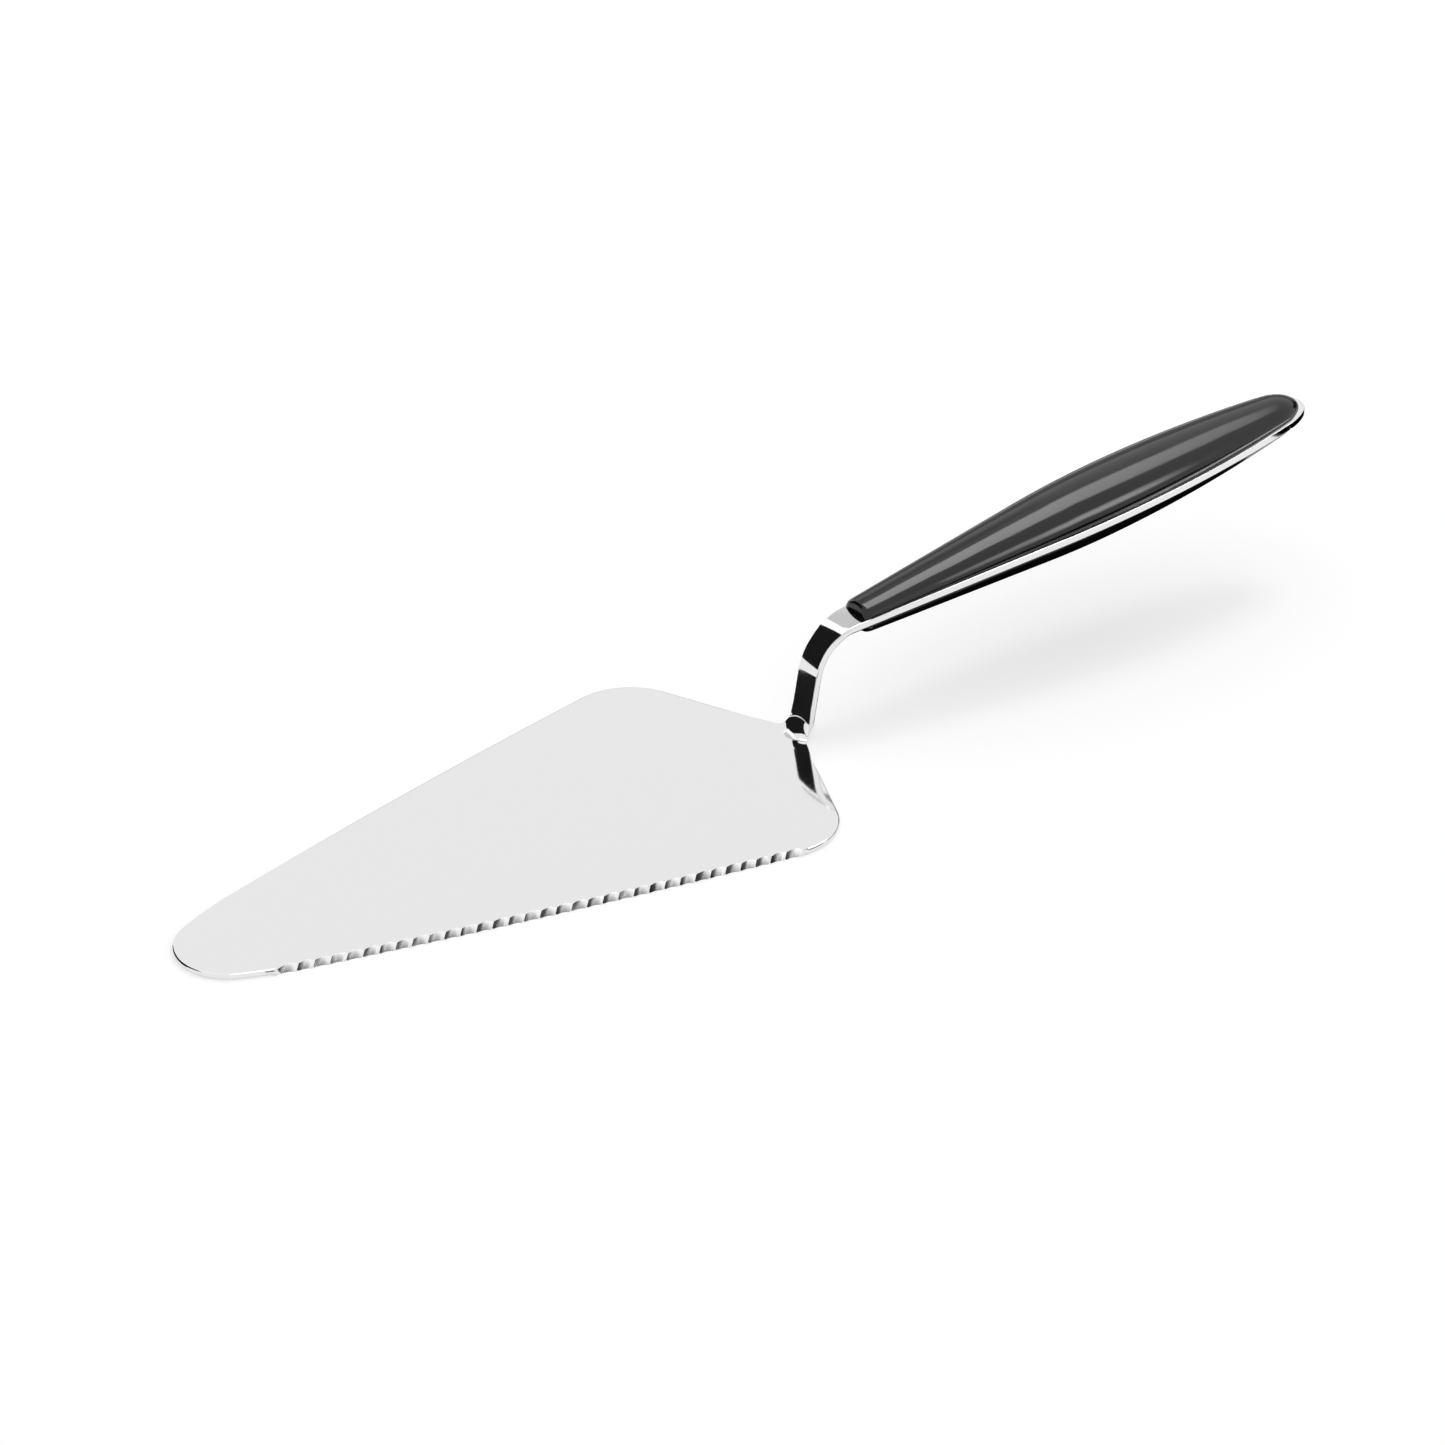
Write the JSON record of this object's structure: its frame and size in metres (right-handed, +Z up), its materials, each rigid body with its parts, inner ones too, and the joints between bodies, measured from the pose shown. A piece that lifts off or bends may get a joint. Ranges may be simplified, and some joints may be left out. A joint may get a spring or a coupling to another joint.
{
  "type": "cake server",
  "caption": "Flat tapered cake server with a scalloped cutting edge, a cranked neck and a handle of two rounded scales on a full tang, for cutting and lifting slices.",
  "frame": {"origin": "in the plane that the blade's underside rests on, midway along the whole server and on its middle plane", "axes": "+X from the blade's nose to the tail of the handle, +Y across towards the plain edge (the scalloped edge is on -Y), +Z up from the underside of the blade"},
  "size_m": [0.262, 0.0708, 0.0373],
  "materials": {
    "steel": "mirror-polished stainless steel",
    "scale_plastic": "smooth black acetal with a soft gloss",
    "pin_steel": "plain drawn steel"
  },
  "bodies": {
    "root": {"blade_and_tang": "steel", "upper_scale": "scale_plastic", "lower_scale": "scale_plastic", "scale_pins": "pin_steel"}
  },
  "joints": []
}
